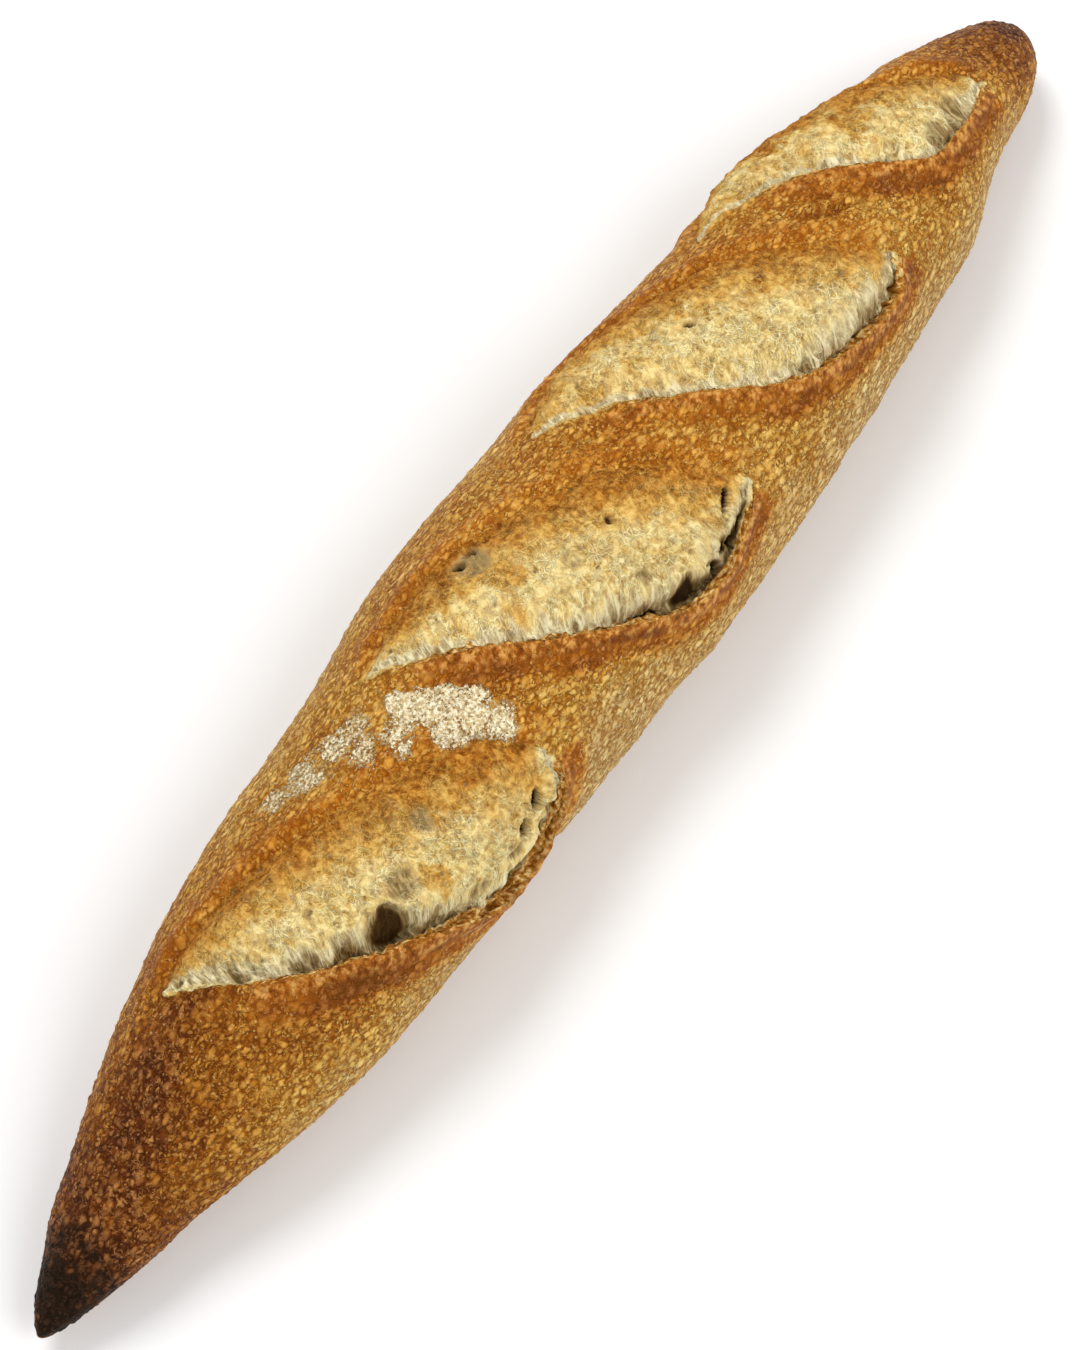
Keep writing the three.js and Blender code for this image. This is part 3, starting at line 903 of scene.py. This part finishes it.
def crust_colour(s, rest, domes, rim_shade, glint_specks):
    """Blistered crust, from pale tan through golden and red-brown to nearly black."""
    strap = s.read("strap")
    bake = s.shake(s.read("bake"), s.noise(rest, 7, 3), 0.30)
    bake = s.shake(bake, s.noise(rest, 2.2, 3), 0.40)
    bake = s.add(bake, s.times(strap, 0.08))
    low = s.ramp(bake, [
        (0.0, (152, 104, 38)), (0.3, (144, 86, 16)), (0.48, (122, 62, 4)), (0.65, (98, 43, 2)),
        (0.8, (66, 22, 1)), (0.9, (44, 15, 1)), (1.0, (12, 4, 1)),
    ])
    ground = s.ramp(bake, [
        (0.0, (200, 160, 90)), (0.3, (196, 142, 52)), (0.48, (176, 110, 28)), (0.65, (146, 82, 11)),
        (0.8, (108, 50, 8)), (0.9, (78, 35, 6)), (1.0, (34, 15, 4)),
    ])
    raised = s.ramp(bake, [
        (0.0, (246, 222, 158)), (0.3, (246, 206, 112)), (0.48, (236, 182, 84)), (0.65, (208, 142, 54)),
        (0.8, (190, 128, 70)), (0.9, (138, 88, 50)), (1.0, (58, 36, 24)),
    ])
    colour = s.mix(s.step(s.noise(rest, 1.1, 3, 0.6), 0.40, 0.60), low, ground)
    blister = s.shake(s.read("blister"), s.noise(rest, 0.6, 2), 0.8)
    colour = s.mix(s.times(s.step(blister, -0.1, 0.8), 0.35), colour, raised)
    # Painted shade round the blisters.
    colour = s.mix(s.times(rim_shade, 0.8), colour, low)
    # Pale blisters, partly a painted highlight in their middles.
    colour = s.mix(domes, colour, raised)
    # The painted glints' colour, paler where the crust is paler.
    glint_colour = s.mix(s.times(s.step(bake, 0.9, 0.6), 0.35), raised, srgb(250, 222, 170))
    colour = s.mix(s.times(glint_specks, 0.6), colour, glint_colour)
    colour = s.mix(s.times(strap, 0.22), colour, srgb(212, 120, 20))
    ridge = s.shake(s.read("ridge"), s.noise(rest, 2.2, 3), 0.5)
    # The ear crest's own orange-brown, whose palest flecks are painted highlights.
    crest_colour_and_highlights = s.ramp(s.noise(rest, 1.5, 4, 0.6), [
        (0.38, (120, 56, 5)), (0.5, (174, 102, 30)), (0.62, (224, 164, 88)),
    ])
    colour = s.mix(s.times(s.step(ridge, 0.3, 0.9), 0.85), colour, crest_colour_and_highlights)
    # Painted shade in the creases at the ears' feet and along the folds.
    crease = s.step(s.shake(s.read("crease"), s.noise(rest, 1.3, 2), 0.7), 0.1, 1.0)
    colour = s.mix(s.times(crease, 0.8), colour, srgb(100, 40, 3))
    under = s.ramp(s.noise(rest, 3.5, 4), [
        (0.3, (128, 82, 38)), (0.5, (164, 114, 60)), (0.7, (196, 154, 98)),
    ])
    return s.mix(s.read("under"), colour, under)


def crumb_colour(s, rest, fibre):
    """Torn crumb: cream strands, toasted towards the far side, grey and dark with painted shade in its
    hollows and gaps. Returns the colour and the strands, from 0 to 1."""
    curl = s.wander(rest, 2.2, 1.8)
    body = s.noise(curl, 1.7, 5, 0.72)
    curls = s.math("MAXIMUM", s.threads(curl, 1.5, 0.040), s.times(s.threads(curl, 0.8, 0.045), 0.7))
    curls = s.math("MAXIMUM", curls, s.times(s.cracks(s.stretch(curl, (1.0, 0.7, 0.7)), 1.5, 0.15), 0.8))
    curls = s.times(curls, s.add(s.times(s.step(s.noise(rest, 3.5, 3), 0.40, 0.60), 0.6), 0.4))
    comb = s.step(s.noise(s.stretch(fibre, (1.3, 0.36, 0.6)), 1.0, 3), 0.40, 0.60)
    near_lip = s.read("near_lip")
    strands = s.math("MAXIMUM", curls, s.times(s.read("strand"), 0.4))
    strands = s.math("MAXIMUM", strands, s.times(comb, near_lip))
    cream = s.ramp(body, [
        (0.34, (134, 88, 24)), (0.42, (188, 143, 58)), (0.5, (219, 183, 98)), (0.6, (246, 222, 150)),
    ])
    cream = s.mix(s.times(strands, 0.85), cream, srgb(255, 243, 188))
    honey = s.ramp(body, [(0.36, (140, 84, 10)), (0.48, (194, 138, 46)), (0.6, (226, 182, 92))])
    honey = s.mix(s.times(strands, 0.65), honey, srgb(246, 212, 134))
    brown = s.ramp(body, [(0.36, (108, 48, 1)), (0.48, (162, 92, 14)), (0.6, (208, 146, 56))])
    brown = s.mix(s.times(strands, 0.4), brown, srgb(224, 168, 80))
    toast = s.shake(s.read("toast"), s.noise(rest, 5, 3), 0.8)
    toast = s.shake(toast, s.noise(rest, 1.8, 3), 0.45)
    colour = s.mix(s.step(toast, 0.12, 0.55), cream, honey)
    colour = s.mix(s.step(toast, 0.45, 1.1), colour, brown)
    white = s.ramp(body, [(0.34, (156, 134, 86)), (0.46, (202, 182, 130)), (0.6, (234, 220, 170))])
    white = s.mix(s.times(strands, 0.6), white, srgb(250, 242, 208))
    colour = s.mix(s.times(s.step(near_lip, 0.1, 0.9), 0.8), colour, white)
    # Painted shade in the gaps beside the lips, in gas holes and in pores, lighter where strands cross it.
    hollow = s.read("hollow")
    covered = s.times(s.math("MAXIMUM", comb, curls), s.times(s.step(hollow, 0.85, 0.6), 0.55))
    hollow = s.times(hollow, s.math("SUBTRACT", 1.15, covered))
    # The painted shade's colours, from grey to nearly black.
    dark = s.ramp(hollow, [
        (0.1, (194, 172, 122)), (0.4, (158, 132, 84)), (0.65, (108, 82, 44)), (0.85, (70, 46, 20)),
        (1.0, (34, 20, 8)),
    ])
    return s.mix(s.step(hollow, 0.05, 0.4), colour, dark), strands


def loaf_material():
    s = Shader("baguette_crust")
    rest, fibre = s.read_vector("rest"), s.read_vector("fibre")
    domes, rim_shade, glint_specks = crust_marks(s, rest)
    crumb = s.step(s.shake(s.read("crumb"), s.noise(rest, 1.2, 3), 0.5), 0.3, 0.7)
    torn_colour, strands = crumb_colour(s, rest, fibre)
    colour = s.mix(crumb, crust_colour(s, rest, domes, rim_shade, glint_specks), torn_colour)
    fringe = s.shake(s.read("fringe"), s.noise(rest, 0.9, 3), 1.1)
    torn = s.ramp(s.noise(rest, 1.1, 4), [
        (0.36, (140, 82, 16)), (0.5, (194, 134, 54)), (0.62, (242, 206, 136)),
    ])
    colour = s.mix(s.step(fringe, 0.35, 0.7), colour, torn)
    dusted = s.read("flour")
    grains = s.add(s.noise(rest, 0.7, 3, 0.7), s.times(dusted, 0.27))
    flour = s.times(s.step(grains, 0.60, 0.70), s.step(dusted, 0.05, 0.3))
    white = s.ramp(s.noise(rest, 0.8, 2), [
        (0.38, (198, 172, 124)), (0.5, (228, 208, 164)), (0.62, (253, 242, 208)),
    ])
    colour = s.mix(flour, colour, white)

    crust_height = s.math("SUBTRACT", s.times(domes, 0.9), s.times(rim_shade, 0.4))
    crust_height = s.add(crust_height, s.times(glint_specks, 0.4))
    crust_height = s.add(crust_height, s.times(s.noise(rest, 0.5, 2), 0.8))
    crumb_height = s.add(s.times(strands, 1.1), s.times(s.noise(rest, 0.7, 3, 0.6), 1.2))
    height = s.make("ShaderNodeMix", {0: crumb, 2: crust_height, 3: crumb_height})
    height = s.add(height, s.times(flour, 0.9))
    rough = s.math("SUBTRACT", 0.6, s.times(domes, 0.18))
    rough = s.add(rough, s.times(s.math("MAXIMUM", crumb, flour), 0.3))
    s.feed(s.surface.inputs["Base Color"], colour)
    s.feed(s.surface.inputs["Roughness"], rough)
    s.feed(s.surface.inputs["Normal"], s.bump(height, BUMP_HEIGHT * MM))
    s.surface.inputs["Specular IOR Level"].default_value = 0.18
    s.surface.inputs["Specular Tint"].default_value = (1.0, 0.72, 0.42, 1.0)
    return s.material


# ---------------------------------------------------------------- floor, light and camera

CAMERA_ELEVATION = 65.0
CAMERA_AZIMUTH = -55.5
CAMERA_DISTANCE = 0.76
CAMERA_LENS = 93.0
SENSOR_WIDTH = 36
AIM = (-14.3, -3.4, 13.8)  # on the loaf's own axes, before it is centred
FLOOR_HALF = 3.0
SKY_STRENGTH = 0.5

# Lamps: name, azimuth, elevation, distance, size and power.
LAMPS = [("key", 165, 60, 1.1, 0.6, 6.6), ("fill", 5, 48, 1.3, 1.0, 8.0)]


def direction(azimuth, elevation):
    """From the loaf towards a camera or lamp."""
    a, e = math.radians(azimuth), math.radians(elevation)
    return Vector((math.sin(a) * math.cos(e), -math.cos(a) * math.cos(e), math.sin(e)))


def aim(thing, place, target):
    thing.location = place
    thing.rotation_euler = (target - place).to_track_quat("-Z", "Y").to_euler()


def add_camera(target):
    data = bpy.data.cameras.new("camera")
    data.lens = CAMERA_LENS
    data.sensor_width = SENSOR_WIDTH
    camera = bpy.data.objects.new("camera", data)
    bpy.context.scene.collection.objects.link(camera)
    bpy.context.scene.camera = camera
    aim(camera, target + direction(CAMERA_AZIMUTH, CAMERA_ELEVATION) * CAMERA_DISTANCE, target)


def add_lamp(name, azimuth, elevation, distance, size, power, target):
    data = bpy.data.lights.new(name, "AREA")
    data.shape = "DISK"
    data.size = size
    data.energy = power
    lamp = bpy.data.objects.new(name, data)
    bpy.context.scene.collection.objects.link(lamp)
    aim(lamp, target + direction(azimuth, elevation) * distance, target)


def add_floor():
    s = Shader("pale_floor")
    s.surface.inputs["Base Color"].default_value = srgb(250, 250, 250)
    s.surface.inputs["Roughness"].default_value = 0.9
    signs = ((-1, -1), (1, -1), (1, 1), (-1, 1))
    corners = [(FLOOR_HALF * x, FLOOR_HALF * y, 0) for x, y in signs]
    mesh = bpy.data.meshes.new("floor")
    mesh.from_pydata(corners, [], [(0, 1, 2, 3)])
    floor = bpy.data.objects.new("floor", mesh)
    mesh.materials.append(s.material)
    bpy.context.scene.collection.objects.link(floor)


def add_world():
    world = bpy.data.worlds.new("studio")
    world.use_nodes = True
    background = world.node_tree.nodes["Background"]
    background.inputs["Color"].default_value = (1, 1, 1, 1)
    background.inputs["Strength"].default_value = SKY_STRENGTH
    bpy.context.scene.world = world


loaf, centring = bake_loaf()
loaf.data.materials.append(loaf_material())
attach(loaf, "root")
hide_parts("loaf")

middle = (cad_box[0] + cad_box[1]) / 2
add_camera((Vector(AIM) + Vector(centring)) * MM)
for lamp in LAMPS:
    add_lamp(*lamp, middle)
add_floor()
add_world()
bpy.context.scene.view_settings.view_transform = "Standard"
